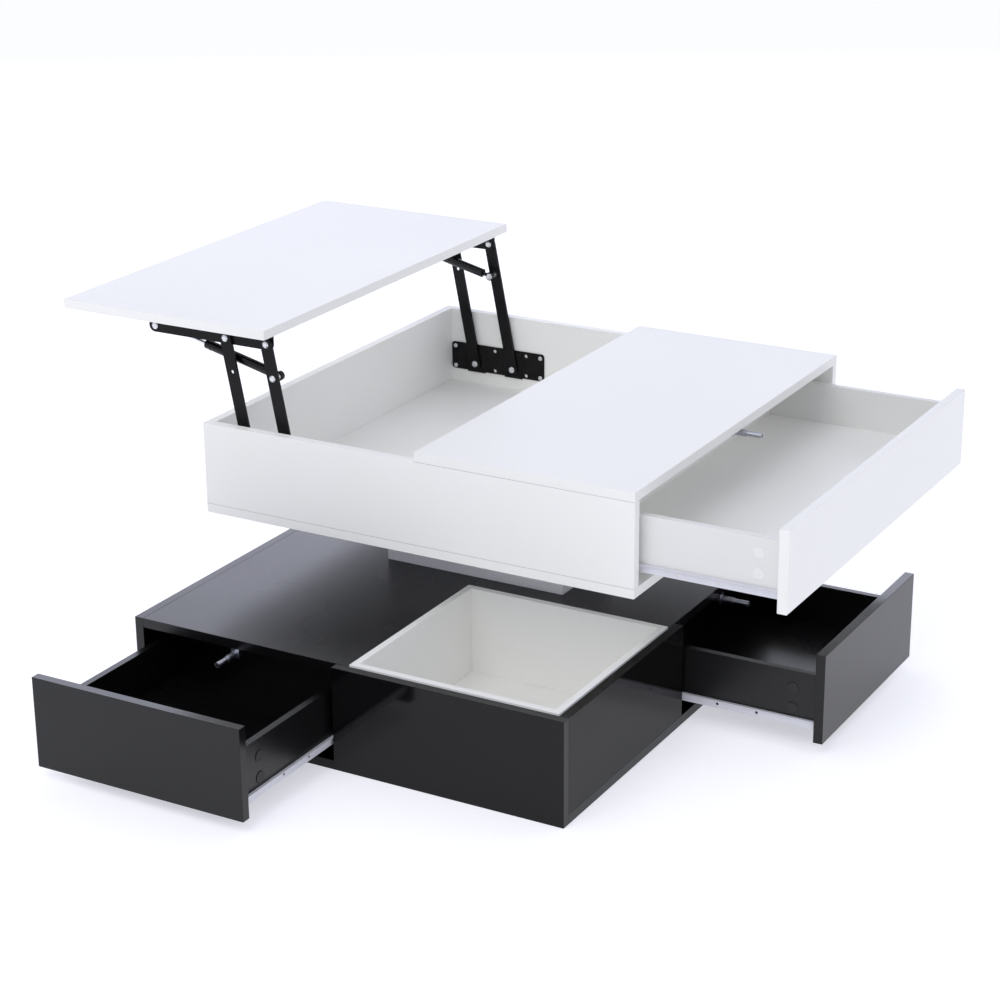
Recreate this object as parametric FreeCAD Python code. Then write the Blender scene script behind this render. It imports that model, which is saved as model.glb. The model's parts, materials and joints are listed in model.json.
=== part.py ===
import FreeCAD, Part
import math
import os

# Lift top coffee table: a black base with two drawers and an open storage box, a plinth
# with a swivel bearing, and a white upper case with a drawer and a lift-up top.
# Millimetres, +Z up, origin on the floor under the middle of the base's footprint.
# It is drawn as it stands open: the three drawers pulled out and the lift top raised.

V = FreeCAD.Vector

# ---------------------------------------------------------------- driving dimensions
BOARD = 16.0             # thickness of every carcass board and drawer front
EDGE_R = 0.5             # small radius on every board edge
SLACK = 1.0              # how far cutting shapes pass a face and joined shapes sink in

BASE_W = 800.0           # base, along X
BASE_D = 800.0           # base, along Y
BASE_H = 176.0           # base, floor to its top face
FRONT_PANEL_LAP = 22.0   # black front panel past the seam of the top boards, along X
RIGHT_PANEL_LAP = 21.5   # black right panel past the seam of the top boards, along Y
FRONT_SEAT = 0.5         # gap between a closed drawer front and the carcass edges behind it

LINER_PLAY = 1.0         # gap around the white storage box
LINER_WALL = 12.0        # its walls and floor
LINER_PROUD = 3.0        # how far its rim stands above the black top

PLINTH_W = 340.0         # plinth, along X
PLINTH_D = 173.0         # plinth, along Y
PLINTH_SET_BACK = 40.0   # plinth behind the seam of the top boards
TIER_GAP = 112.0         # from the base's top to the case's underside
SWIVEL_SIZE = 150.0      # square bearing plates
SWIVEL_PLATE = 2.0       # their thickness
SWIVEL_BALL = 4.0        # ball diameter
SWIVEL_RACE_R = 60.0     # radius of the ring of balls
SWIVEL_BALLS = 24        # number of balls

CASE_W = 800.0           # upper case, along X
CASE_D = 800.0           # upper case, along Y
CASE_H = 174.0           # underside to the top of the fixed top
TOP_GAP = 1.0            # gap between the fixed top and the closed lift top
LIFT_SEAT = 0.5          # gap under the closed lift top

ARM_LENGTH = 245.0       # between an arm's two pivots
ARM_OPEN_DEG = 101.0     # arm's angle above +X when raised, leaning past upright
ARM_WIDTH = 22.0
ARM_THICK = 4.0
PIVOT_SPACING = 81.0     # between the two arms of a pair
PIVOT_FROM_LEFT = 153.0  # from the case's left face to the right arm's lower pivot
PIVOT_HEIGHT = 41.0      # lower pivots above the compartment's floor
TOP_PIVOT_DROP = 20.5    # upper pivots below the lift top's underside
RIVET_D = 6.0            # pivot rivet shank
RIVET_HEAD_D = 11.5
RIVET_HEAD_H = 2.2
HEAD_RIM = 0.4           # upright part of a head, as a share of its height
HEAD_CROWN = 0.6         # flat on top of a head, as a share of its diameter
PIN_PLAY = 0.1           # radial clearance of a pin in a turning hole
LAYER_GAP = 0.4          # between neighbouring layers of the lift mechanism

MOUNT_BLOCK_T = 18.0     # packing block between the case's front side and its wall plate
MOUNT_BLOCK_MARGIN = 10.0  # block past the plate's right end and upper edge
PLATE_L = 201.0          # wall plate, along X
PLATE_H = 53.0           # wall plate, along Z
PLATE_THICK = 2.0
PLATE_PAD = 2.0          # how far its pivot pads are pressed out
PLATE_LEFT = 2.0         # from the case's left side to the plate
PLATE_DROP = 16.0        # lower pivots above the plate's lower edge
PLATE_CORNER_R = 6.0
PAD_MARGIN = 8.0         # pivot pad past the arm's edges
PAD_BEVEL = 1.2          # bevel around a pad
PLATE_SCREW_DROP = 2.0   # lower row of plate screws, nearer the plate's edge than the upper
SCREW_HEAD_D = 8.0
SCREW_HEAD_H = 1.2
SCREW_SHANK_D = 3.5
SCREW_INSET = 8.0        # plate screws in from the plate's ends and edges
HOLE_D = 7.0             # spare holes in plates and arms

BRACKET_THICK = 2.5
BRACKET_DROP = 31.0      # depth of the bracket's upright flange
BRACKET_FOOT = 24.0      # width of the flange screwed to the lift top
BRACKET_END = 12.0       # bracket past its end pivots
BRACKET_CORNER_R = 10.8
STRUT_PIN_UP = 187.0     # from the lower pivot to the strut's pin, along the right arm
STRUT_PIN_OUT = 227.0    # from the right arm's upper pivot to the strut's other pin
STRUT_LAYER = 25.0       # strut's middle, from the face that carries the wall plate
CYLINDER_D = 16.0
CYLINDER_L = 150.0       # from its pin to its mouth
CYLINDER_BORE_D = 12.0
CYLINDER_END = 4.0       # solid end behind the bore
CYLINDER_GUIDE = 8.0     # rod guide at the mouth
MOUTH_BEVEL = 1.5
ROD_D = 6.0
ROD_ENGAGED = 25.0       # rod still inside the cylinder when raised
EYE_D = 16.0
EYE_W = 7.0
SOCKET_D = 9.0           # sleeve between the rod and its eye
SOCKET_L = 22.4          # from the eye's centre to the sleeve's end
STRUT_PIN_D = 6.0

TRAVEL = 245.0           # drawer travel
DRAWER_LENGTH = 350.0    # drawer sides and runners
LOWER_BACK_ROOM = 21.0   # from a closed lower drawer's box to the partition behind it
UPPER_BACK_ROOM = 8.5    # from the closed upper drawer's box to the partition behind it
DRAWER_SIDE_H = 92.5
DRAWER_WALL = 12.0
DRAWER_BOTTOM = 5.0
BOTTOM_UP = 16.5         # drawer's bottom panel above the lower edge of its sides
GROOVE = 5.0             # depth of the groove that holds it
GROOVE_PLAY = 0.2
RUNNER_ROOM = 12.5       # space for a runner on each side of a drawer
RUNNER_SHEET = 1.2
RUNNER_H = 13.5
RUNNER_TRACK = 5.5       # outward track of the drawer's runner
RUNNER_FOOT = 10.0       # inward foot under the drawer's side
RUNNER_HOLE_D = 5.0
RUNNER_HOLES = 3
RUNNER_HOLE_PITCH = 69.0
RUNNER_FIRST_HOLE = 100.0  # from the drawer front to the first hole
RUNNER_HOLE_UP = 6.0     # holes above the lower edge of the drawer's side
RUNNER_FRONT_GAP = 1.0   # from the drawer front to the runner, and from the carcass edge to the rail
RAIL_H = 20.0            # runner on the cabinet's side
RAIL_FLANGE = 8.5
RAIL_CLEARANCE = 0.8     # between the rail's flange and the drawer's runner above it
ROLLER_D = 12.0
ROLLER_W = 5.5           # roller at the back of a drawer's runner
RAIL_ROLLER_W = 6.5      # roller at the front of a cabinet rail

UPPER_FRONT_DROP = 6.0   # top of the upper drawer front below the case's rim
UPPER_FRONT_PLAY = 1.0   # gap at each end of the inset upper drawer front
UPPER_FRONT_UP = 1.0     # above the case's floor
UPPER_SIDE_UP = 19.5     # drawer sides above the lower edge of the front
LEFT_FRONT_GAP = 1.0     # between the left drawer front and the front panel
RIGHT_FRONT_GAP = 1.5    # between the right drawer front and the right panel
LOWER_FRONT_DROP = 3.0   # top of a lower front below the base's top
LOWER_FRONT_PLAY = 1.0   # outer end of a lower front, in from the base's outer face
LOWER_FRONT_UP = 4.0     # above the base's floor board
LOWER_SIDE_UP = 22.0

LATCH_STROKE = 50.0      # travel of a push latch's plunger
LATCH_DROP = 9.0         # latch axis below the board that it is screwed to
LATCH_BODY_D = 15.0
LATCH_BODY_L = 88.0
LATCH_REAR_WALL = 4.0    # solid end behind the barrel's bore
LATCH_INSIDE = 32.0      # extended plunger's length inside the barrel
LATCH_WALL_PLAY = 0.25
LATCH_REAR_D = 11.5      # rear stage of the plunger
LATCH_TIP_D = 9.0        # front stage of the plunger
LATCH_TIP_BORE_L = 8.0
LATCH_TIP_L = 27.0
LATCH_TIP_BORE_D = 4.2
LATCH_FLANGE_W = 15.0
LATCH_FLANGE_H = 16.0
LATCH_FLANGE_T = 2.5
LATCH_SET_BACK = 0.5     # closed plunger behind the drawer front's inner face
LEFT_LATCH_SHIFT = -9.0  # left latch, from the middle of its bay

# ---------------------------------------------------------------- places worked out
X0, X1 = -BASE_W / 2, BASE_W / 2
Y0, Y1 = -BASE_D / 2, BASE_D / 2
BASE_ROOF = BASE_H - BOARD
EDGE_BACK = BOARD + FRONT_SEAT                 # carcass edges behind an overlay front
# the top boards' seams stand over the partitions, which clear the closed lower drawers
TOP_SEAM = BOARD + DRAWER_LENGTH + LOWER_BACK_ROOM
SEAM_X = X1 - TOP_SEAM
SEAM_Y = Y0 + TOP_SEAM
PANEL_LEFT = SEAM_X - FRONT_PANEL_LAP
PANEL_BACK = SEAM_Y + RIGHT_PANEL_LAP

# swivel axis in the middle of the plinth; half a turn brings the case over the base
PIVOT_Y = SEAM_Y + PLINTH_SET_BACK + PLINTH_D / 2
CASE_SHIFT = 2 * PIVOT_Y
CX0, CX1 = -CASE_W / 2, CASE_W / 2
CY0, CY1 = CASE_SHIFT - CASE_D / 2, CASE_SHIFT + CASE_D / 2
CASE_Z0 = BASE_H + TIER_GAP
CASE_FLOOR = CASE_Z0 + BOARD
CASE_Z1 = CASE_Z0 + CASE_H
CASE_RIM = CASE_Z1 - BOARD
# the fixed half of the top covers the closed upper drawer and the partition behind it
FIXED_TOP_W = 2 * BOARD + DRAWER_LENGTH + UPPER_BACK_ROOM
FIXED_X0 = CX1 - FIXED_TOP_W
LIFT_X1 = FIXED_X0 - TOP_GAP                   # right edge of the closed lift top

ARM_OPEN = math.radians(ARM_OPEN_DEG)
CLOSED_UNDER = CASE_RIM + LIFT_SEAT              # closed lift top's underside
ARM_CLOSED = math.asin((CLOSED_UNDER - TOP_PIVOT_DROP - CASE_FLOOR - PIVOT_HEIGHT) / ARM_LENGTH)
LIFT_RISE = ARM_LENGTH * (math.sin(ARM_OPEN) - math.sin(ARM_CLOSED))
LIFT_RUN = ARM_LENGTH * (math.cos(ARM_CLOSED) - math.cos(ARM_OPEN))
LOW_RIGHT = V(CX0 + PIVOT_FROM_LEFT, 0, CASE_FLOOR + PIVOT_HEIGHT)
LOW_LEFT = LOW_RIGHT - V(PIVOT_SPACING, 0, 0)
ARM_DIR = V(math.cos(ARM_OPEN), 0, math.sin(ARM_OPEN))
HIGH_RIGHT = LOW_RIGHT + ARM_DIR * ARM_LENGTH
HIGH_LEFT = LOW_LEFT + ARM_DIR * ARM_LENGTH
TOP_UNDER = CLOSED_UNDER + LIFT_RISE             # raised lift top's underside
STRUT_LOW = LOW_RIGHT + ARM_DIR * STRUT_PIN_UP
STRUT_HIGH = HIGH_RIGHT - V(STRUT_PIN_OUT, 0, 0)

# layers of the mechanism, counted inwards from the face that carries the wall plate
ARM_S = PLATE_THICK + PLATE_PAD + LAYER_GAP
BRACKET_S = ARM_S + ARM_THICK + LAYER_GAP
ROD_EYE_S = STRUT_LAYER - EYE_W / 2


# ---------------------------------------------------------------- helpers
def block(x0, x1, y0, y1, z0, z1):
    return Part.makeBox(x1 - x0, y1 - y0, z1 - z0, V(x0, y0, z0))


def board(x0, x1, y0, y1, z0, z1):
    """A board with its twelve edges slightly rounded."""
    solid = block(x0, x1, y0, y1, z0, z1)
    return solid.makeFillet(EDGE_R, solid.Edges)


def rod(start, end, diameter):
    direction = end - start
    return Part.makeCylinder(diameter / 2, direction.Length, start, direction)


def rivet_head(centre, direction, diameter, height):
    """A low head with a bevelled rim, standing on a flat side."""
    rim = height * HEAD_RIM
    disc = rod(centre, centre + direction * rim, diameter)
    crown = Part.makeCone(diameter / 2, diameter * HEAD_CROWN / 2, height - rim,
                          centre + direction * rim, direction)
    return disc.fuse(crown).removeSplitter()


def save(node, solids):
    shape = solids[0] if len(solids) == 1 else Part.makeCompound(solids)
    shape.exportStep("parts/" + node + ".step")
    print(node, len(shape.Solids), round(shape.Volume / 1000, 1), "cm3")


# ---------------------------------------------------------------- base
def base_carcass():
    bay_x1 = SEAM_X - BOARD                    # left bay ends at the partition
    bay_y0 = SEAM_Y + BOARD                    # right bay starts behind the partition
    inner_x0 = X0 + BOARD
    inner_y1 = Y1 - BOARD
    front = Y0 + EDGE_BACK
    right = X1 - EDGE_BACK
    floor_board = board(X0, X1, Y0, Y1, 0, BOARD)
    notch = block(PANEL_LEFT, X1 + SLACK, Y0 - SLACK, Y0 + BOARD, -SLACK, BOARD + SLACK)
    save("base_bottom_board", [floor_board.cut(notch)])
    save("base_front_panel", [board(PANEL_LEFT, X1, Y0, Y0 + BOARD, 0, BASE_H)])
    save("base_right_panel", [board(X1 - BOARD, X1, Y0 + BOARD, PANEL_BACK, BOARD, BASE_H)])
    save("base_left_side", [board(X0, inner_x0, front, Y1, BOARD, BASE_H)])
    save("base_back_panel", [board(inner_x0, right, inner_y1, Y1, BOARD, BASE_H)])
    save("base_left_top", [board(inner_x0, SEAM_X, front, inner_y1, BASE_ROOF, BASE_H)])
    save("base_right_top", [board(SEAM_X, right, SEAM_Y, inner_y1, BASE_ROOF, BASE_H)])
    save("base_long_partition", [board(bay_x1, SEAM_X, Y0 + BOARD, inner_y1, BOARD, BASE_ROOF)])
    save("base_right_partition", [board(SEAM_X, X1 - BOARD, SEAM_Y, bay_y0, BOARD, BASE_ROOF)])
    save("base_left_partition", [board(inner_x0, bay_x1, SEAM_Y, bay_y0, BOARD, BASE_ROOF)])
    return bay_x1, bay_y0, inner_x0, inner_y1


def storage_liner():
    x0, x1 = SEAM_X + LINER_PLAY, X1 - BOARD - LINER_PLAY
    y0, y1 = Y0 + BOARD + LINER_PLAY, SEAM_Y - LINER_PLAY
    z0, z1 = BOARD, BASE_H + LINER_PROUD
    wall = LINER_WALL
    save("liner_walls", [
        board(x0, x1, y0, y0 + wall, z0, z1),
        board(x0, x1, y1 - wall, y1, z0, z1),
        board(x0, x0 + wall, y0 + wall, y1 - wall, z0, z1),
        board(x1 - wall, x1, y0 + wall, y1 - wall, z0, z1)])
    save("liner_floor", [board(x0 + wall, x1 - wall, y0 + wall, y1 - wall, z0, z0 + wall)])


# ---------------------------------------------------------------- plinth and swivel
def plinth():
    x0, x1 = -PLINTH_W / 2, PLINTH_W / 2
    y0, y1 = PIVOT_Y - PLINTH_D / 2, PIVOT_Y + PLINTH_D / 2
    bearing = 2 * SWIVEL_PLATE + SWIVEL_BALL
    top = CASE_Z0 - bearing
    under = top - BOARD
    save("plinth_boards", [
        board(x0, x1, y0, y0 + BOARD, BASE_H, under),
        board(x0, x1, y1 - BOARD, y1, BASE_H, under),
        board(x0, x0 + BOARD, y0 + BOARD, y1 - BOARD, BASE_H, under),
        board(x1 - BOARD, x1, y0 + BOARD, y1 - BOARD, BASE_H, under)])
    save("plinth_top", [board(x0, x1, y0, y1, under, top)])

    half = SWIVEL_SIZE / 2
    lower = block(-half, half, PIVOT_Y - half, PIVOT_Y + half, top, top + SWIVEL_PLATE)
    upper_z = CASE_Z0 - SWIVEL_PLATE
    upper = block(-half, half, PIVOT_Y - half, PIVOT_Y + half, upper_z, CASE_Z0)
    save("swivel_lower_plate", [lower])
    save("swivel_upper_plate", [upper])
    ball_r = SWIVEL_BALL / 2 - PIN_PLAY
    balls = []
    for index in range(SWIVEL_BALLS):
        angle = 2 * math.pi * index / SWIVEL_BALLS
        place = V(SWIVEL_RACE_R * math.cos(angle), PIVOT_Y + SWIVEL_RACE_R * math.sin(angle), 0)
        balls.append(Part.makeSphere(ball_r, place + V(0, 0, top + SWIVEL_PLATE + ball_r)))
    save("swivel_balls", balls)


# ---------------------------------------------------------------- upper case
def case_carcass():
    inner_y0, inner_y1 = CY0 + BOARD, CY1 - BOARD
    save("case_bottom_board", [board(CX0, CX1, CY0, CY1, CASE_Z0, CASE_FLOOR)])
    save("case_front_side", [board(CX0, CX1, CY0, inner_y0, CASE_FLOOR, CASE_RIM)])
    save("case_back_side", [board(CX0, CX1, inner_y1, CY1, CASE_FLOOR, CASE_RIM)])
    save("case_left_side", [board(CX0, CX0 + BOARD, inner_y0, inner_y1, CASE_FLOOR, CASE_RIM)])
    save("case_fixed_top", [board(FIXED_X0, CX1, CY0, CY1, CASE_RIM, CASE_Z1)])
    save("case_partition", [
        board(FIXED_X0, FIXED_X0 + BOARD, inner_y0, inner_y1, CASE_FLOOR, CASE_RIM)])


# ---------------------------------------------------------------- lift mechanism
def both_sides(make):
    """make(wall_y, inward) is built on the front packing block and on the back wall."""
    solids = []
    for wall_y, inward in ((CY0 + BOARD + MOUNT_BLOCK_T, 1), (CY1 - BOARD, -1)):
        solids.extend(make(wall_y, inward))
    return solids


def layer(point, wall_y, inward, depth):
    """The point at this depth from the face that carries the wall plate."""
    return V(point.x, wall_y + inward * depth, point.z)


def slab(x0, x1, z0, z1, wall_y, inward, s0, s1):
    y_values = sorted((wall_y + inward * s0, wall_y + inward * s1))
    return block(x0, x1, y_values[0], y_values[1], z0, z1)


def pin(point, wall_y, inward, s0, s1, diameter):
    return rod(layer(point, wall_y, inward, s0), layer(point, wall_y, inward, s1), diameter)


def wall_plates():
    x0 = CX0 + BOARD + PLATE_LEFT
    x1 = x0 + PLATE_L
    z0 = LOW_RIGHT.z - PLATE_DROP
    z1 = z0 + PLATE_H
    pad_half = ARM_WIDTH / 2 + PAD_MARGIN
    spare_x = ((LOW_LEFT.x + LOW_RIGHT.x) / 2, LOW_RIGHT.x + pad_half + SCREW_INSET)
    screw_x = (x0 + SCREW_INSET, x1 - SCREW_INSET)
    rows = (z0 + SCREW_INSET - PLATE_SCREW_DROP, z1 - SCREW_INSET)

    def plate(wall_y, inward):
        sheet = slab(x0, x1, z0, z1, wall_y, inward, 0, PLATE_THICK)
        upright = [e for e in sheet.Edges if abs(e.tangentAt(e.FirstParameter).y) > 0.9]
        sheet = sheet.makeFillet(PLATE_CORNER_R, upright)
        pads = PLATE_THICK + PLATE_PAD
        for pivot in (LOW_LEFT, LOW_RIGHT):
            pad = slab(pivot.x - pad_half, pivot.x + pad_half, z0 - PLATE_PAD, z1 - PLATE_PAD,
                       wall_y, inward, 0, pads)
            rims = [e for e in pad.Edges if abs(e.CenterOfMass.y - wall_y) > PLATE_THICK]
            sheet = sheet.fuse(pad.makeChamfer(PAD_BEVEL, rims))
        for pivot in (LOW_LEFT, LOW_RIGHT):
            sheet = sheet.cut(pin(pivot, wall_y, inward, -SLACK, pads + SLACK, RIVET_D))
        for z in rows:
            for x in spare_x:
                spare = pin(V(x, 0, z), wall_y, inward, -SLACK, pads + SLACK, HOLE_D)
                sheet = sheet.cut(spare)
            for x in screw_x:
                hole = pin(V(x, 0, z), wall_y, inward, -SLACK, pads + SLACK, SCREW_SHANK_D)
                sheet = sheet.cut(hole)
        return [sheet.removeSplitter()]

    def fasteners(wall_y, inward):
        found = []
        for pivot in (LOW_LEFT, LOW_RIGHT):
            head = ARM_S + ARM_THICK + LAYER_GAP
            shank = pin(pivot, wall_y, inward, 0, head, RIVET_D)
            cap = rivet_head(layer(pivot, wall_y, inward, head), V(0, inward, 0),
                       RIVET_HEAD_D, RIVET_HEAD_H)
            found.append(shank.fuse(cap))
        for z in rows:
            for x in screw_x:
                place = V(x, 0, z)
                shank = pin(place, wall_y, inward, 0, PLATE_THICK, SCREW_SHANK_D)
                cap = rivet_head(layer(place, wall_y, inward, PLATE_THICK), V(0, inward, 0),
                           SCREW_HEAD_D, SCREW_HEAD_H)
                found.append(shank.fuse(cap))
        return found

    block_x1 = x1 + MOUNT_BLOCK_MARGIN
    block_y0 = CY0 + BOARD
    save("lift_mounting_block", [
        board(CX0 + BOARD, block_x1, block_y0, block_y0 + MOUNT_BLOCK_T,
              CASE_FLOOR, z1 + MOUNT_BLOCK_MARGIN)])
    save("lift_wall_plates", both_sides(plate))
    save("wall_plate_fasteners", both_sides(fasteners))


def arm(low, wall_y, inward, holes):
    """A flat bar with round ends between its two pivots."""
    high = low + ARM_DIR * ARM_LENGTH
    side = ARM_DIR.cross(V(0, 1, 0)) * (ARM_WIDTH / 2)
    start_y = wall_y + inward * ARM_S
    lift = V(0, start_y, 0)
    corners = [low + side + lift, high + side + lift, high - side + lift, low - side + lift]
    crown = high + ARM_DIR * (ARM_WIDTH / 2) + lift
    heel = low - ARM_DIR * (ARM_WIDTH / 2) + lift
    outline = Part.Wire([
        Part.LineSegment(corners[0], corners[1]).toShape(),
        Part.Arc(corners[1], crown, corners[2]).toShape(),
        Part.LineSegment(corners[2], corners[3]).toShape(),
        Part.Arc(corners[3], heel, corners[0]).toShape()])
    bar = Part.Face(outline).extrude(V(0, inward * ARM_THICK, 0))
    for along, diameter in holes:
        bar = bar.cut(pin(low + ARM_DIR * along, wall_y, inward, 0, BRACKET_S, diameter))
    return bar


def arms():
    pivot_hole = RIVET_D + 2 * PIN_PLAY
    ends = [(0, pivot_hole), (ARM_LENGTH, pivot_hole)]

    def right(wall_y, inward):
        return [arm(LOW_RIGHT, wall_y, inward, ends + [(STRUT_PIN_UP, STRUT_PIN_D)])]

    def left(wall_y, inward):
        return [arm(LOW_LEFT, wall_y, inward, ends + [(STRUT_PIN_UP, HOLE_D)])]

    def strut_pin(wall_y, inward):
        tip = ROD_EYE_S + EYE_W + LAYER_GAP
        shank = pin(STRUT_LOW, wall_y, inward, ARM_S, tip, STRUT_PIN_D)
        outer = rivet_head(layer(STRUT_LOW, wall_y, inward, ARM_S), V(0, -inward, 0),
                     RIVET_HEAD_D, RIVET_HEAD_H)
        collar = pin(STRUT_LOW, wall_y, inward, ARM_S + ARM_THICK, ROD_EYE_S - LAYER_GAP,
                     RIVET_HEAD_D)
        nut = rivet_head(layer(STRUT_LOW, wall_y, inward, tip), V(0, inward, 0),
                   RIVET_HEAD_D, RIVET_HEAD_H)
        return [shank.fuse([outer, collar, nut])]

    save("lift_right_arms", both_sides(right))
    save("lift_left_arms", both_sides(left))
    save("strut_arm_bolts", both_sides(strut_pin))


def lift_top():
    x0 = CX0 - LIFT_RUN
    save("lift_top", [
        board(x0, LIFT_X1 - LIFT_RUN, CY0, CY1, TOP_UNDER, TOP_UNDER + BOARD)])
    bar_x0 = STRUT_HIGH.x - BRACKET_END
    bar_x1 = HIGH_RIGHT.x + BRACKET_END
    inner = BRACKET_S + BRACKET_THICK

    def bracket(wall_y, inward):
        flange = slab(bar_x0, bar_x1, TOP_UNDER - BRACKET_DROP, TOP_UNDER,
                      wall_y, inward, BRACKET_S, inner)
        lower = [e for e in flange.Edges if abs(e.tangentAt(e.FirstParameter).y) > 0.9
                 and e.CenterOfMass.z < TOP_UNDER - SLACK]
        flange = flange.makeFillet(BRACKET_CORNER_R, lower)
        foot = slab(bar_x0, bar_x1, TOP_UNDER - BRACKET_THICK, TOP_UNDER,
                    wall_y, inward, BRACKET_S, BRACKET_S + BRACKET_FOOT)
        whole = flange.fuse(foot)
        for point in (HIGH_LEFT, HIGH_RIGHT, STRUT_HIGH):
            whole = whole.cut(pin(point, wall_y, inward, ARM_S, inner + SLACK, RIVET_D))
        return [whole.removeSplitter()]

    def rivets(wall_y, inward):
        found = []
        for point in (HIGH_LEFT, HIGH_RIGHT):
            shank = pin(point, wall_y, inward, ARM_S - LAYER_GAP, inner, RIVET_D)
            outer = rivet_head(layer(point, wall_y, inward, ARM_S - LAYER_GAP), V(0, -inward, 0),
                         RIVET_HEAD_D, RIVET_HEAD_H)
            tail = rivet_head(layer(point, wall_y, inward, inner), V(0, inward, 0),
                        RIVET_HEAD_D, RIVET_HEAD_H)
            found.append(shank.fuse([outer, tail]))
        shank = pin(STRUT_HIGH, wall_y, inward, BRACKET_S, inner, RIVET_D)
        outer = rivet_head(layer(STRUT_HIGH, wall_y, inward, BRACKET_S), V(0, -inward, 0),
                     RIVET_HEAD_D, RIVET_HEAD_H)
        found.append(shank.fuse(outer))
        return found

    save("lift_top_brackets", both_sides(bracket))
    save("lift_top_rivets", both_sides(rivets))


def struts():
    along = (STRUT_HIGH - STRUT_LOW).normalize()
    pin_hole = STRUT_PIN_D + 2 * PIN_PLAY
    eye_s = (ROD_EYE_S, ROD_EYE_S + EYE_W)

    def cylinder(wall_y, inward):
        low = layer(STRUT_LOW, wall_y, inward, STRUT_LAYER)
        eye = pin(STRUT_LOW, wall_y, inward, eye_s[0], eye_s[1], EYE_D)
        neck = rod(low + along * (EYE_D / 2 - SLACK), low + along * EYE_D, EYE_W)
        tube = rod(low + along * EYE_D, low + along * CYLINDER_L, CYLINDER_D)
        mouth = [e for e in tube.Edges if (e.CenterOfMass - low).Length > CYLINDER_L - SLACK]
        tube = tube.makeChamfer(MOUTH_BEVEL, mouth[:1])
        bore_start = low + along * (EYE_D + CYLINDER_END)
        bore = rod(bore_start, low + along * (CYLINDER_L - CYLINDER_GUIDE), CYLINDER_BORE_D)
        guide = rod(bore_start, low + along * (CYLINDER_L + SLACK), ROD_D + 2 * PIN_PLAY)
        whole = eye.fuse([neck, tube]).cut(bore).cut(guide)
        return [whole.cut(pin(STRUT_LOW, wall_y, inward, 0, 2 * STRUT_LAYER, pin_hole))]

    def piston(wall_y, inward):
        low = layer(STRUT_LOW, wall_y, inward, STRUT_LAYER)
        high = layer(STRUT_HIGH, wall_y, inward, STRUT_LAYER)
        eye = pin(STRUT_HIGH, wall_y, inward, eye_s[0], eye_s[1], EYE_D)
        eye_edge = high - along * (EYE_D / 2 - SLACK)
        stem = rod(low + along * (CYLINDER_L - ROD_ENGAGED), eye_edge, ROD_D)
        socket = rod(high - along * SOCKET_L, eye_edge, SOCKET_D)
        whole = eye.fuse([stem, socket])
        return [whole.cut(pin(STRUT_HIGH, wall_y, inward, 0, 2 * STRUT_LAYER, RIVET_D))]

    def eye_bolt(wall_y, inward):
        start = BRACKET_S + BRACKET_THICK + LAYER_GAP
        shank = pin(STRUT_HIGH, wall_y, inward, start, eye_s[1] + SLACK, RIVET_D)
        collar = pin(STRUT_HIGH, wall_y, inward, start, eye_s[0], RIVET_HEAD_D)
        nut = rivet_head(layer(STRUT_HIGH, wall_y, inward, eye_s[1]), V(0, inward, 0),
                   RIVET_HEAD_D, RIVET_HEAD_H)
        return [shank.fuse([collar, nut])]

    save("strut_cylinders", both_sides(cylinder))
    save("strut_rods", both_sides(piston))
    save("strut_rod_bolts", both_sides(eye_bolt))


# ---------------------------------------------------------------- drawers
def drawer(name, place, front, box_w, side_z):
    """front is (y0, y1, z0, z1). Drawn with the front's inner face at x = 0, opening +X."""
    half = box_w / 2
    back_x = -DRAWER_LENGTH
    side_top = side_z + DRAWER_SIDE_H
    panel_z = side_z + BOTTOM_UP
    inner = half - DRAWER_WALL
    slot = block(back_x + DRAWER_WALL - GROOVE, SLACK, -inner - GROOVE, inner + GROOVE,
                 panel_z, panel_z + DRAWER_BOTTOM)
    panel = block(back_x + DRAWER_WALL - GROOVE + GROOVE_PLAY, -GROOVE_PLAY,
                  -inner - GROOVE + GROOVE_PLAY, inner + GROOVE - GROOVE_PLAY,
                  panel_z, panel_z + DRAWER_BOTTOM)
    walls = []
    for side in (-1, 1):
        y_values = sorted((side * half, side * inner))
        walls.append(board(back_x, 0, y_values[0], y_values[1], side_z, side_top).cut(slot))
    back = board(back_x, back_x + DRAWER_WALL, -inner, inner, side_z, side_top).cut(slot)
    pieces = {
        "front": [board(0, BOARD, *front)],
        "sides": walls,
        "back": [back],
        "bottom": [panel],
        "runners": drawer_runners(half, side_z)}
    for piece, solids in pieces.items():
        for solid in solids:
            solid.Placement = place.multiply(solid.Placement)
        save(name + "_drawer_" + piece, solids)


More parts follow.
